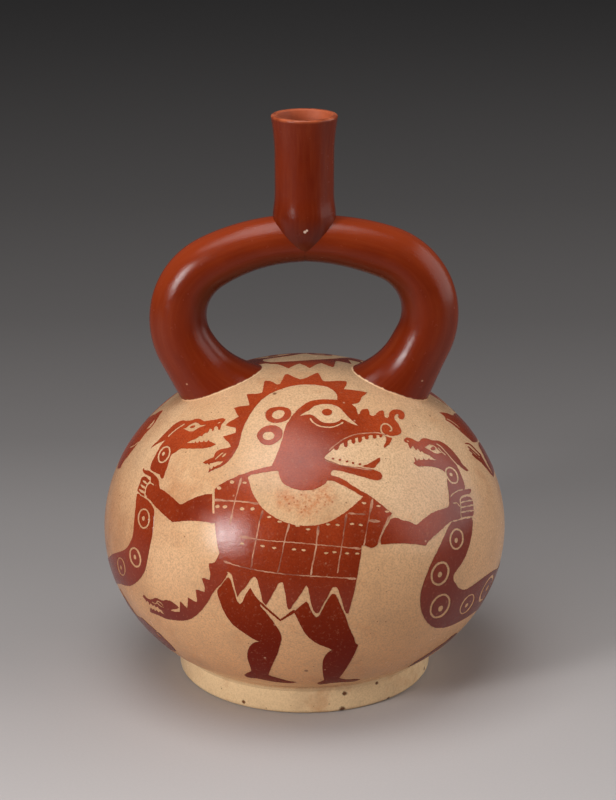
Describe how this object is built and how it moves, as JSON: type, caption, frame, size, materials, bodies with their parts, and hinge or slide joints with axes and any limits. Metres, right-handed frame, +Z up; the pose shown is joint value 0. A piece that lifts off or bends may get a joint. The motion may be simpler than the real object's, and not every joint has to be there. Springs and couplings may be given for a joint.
{
  "type": "stirrup spout bottle",
  "caption": "Round painted clay bottle on a ring foot, with a hollow stirrup handle that carries a straight spout with a flared lip; it holds and pours liquid.",
  "frame": {"origin": "middle of the foot ring's resting face, on the floor", "axes": "+Z up along the spout, the stirrup's arms along X, the painted front facing -Y"},
  "size_m": [0.178, 0.178, 0.2508],
  "materials": {
    "cream_slip": "burnished cream slip over fired clay",
    "red_slip": "burnished red-brown slip over fired clay",
    "raw_clay": "bare fired clay"
  },
  "bodies": {
    "root": {"foot_ring": "cream_slip", "foot_luting_coil": "cream_slip", "lower_chamber": "cream_slip", "upper_chamber": "cream_slip", "seam_luting_coil": "raw_clay", "left_stirrup_arm": "red_slip", "right_stirrup_arm": "red_slip", "left_luting_collar": "red_slip", "right_luting_collar": "red_slip", "spout_tube": "red_slip"}
  },
  "joints": []
}
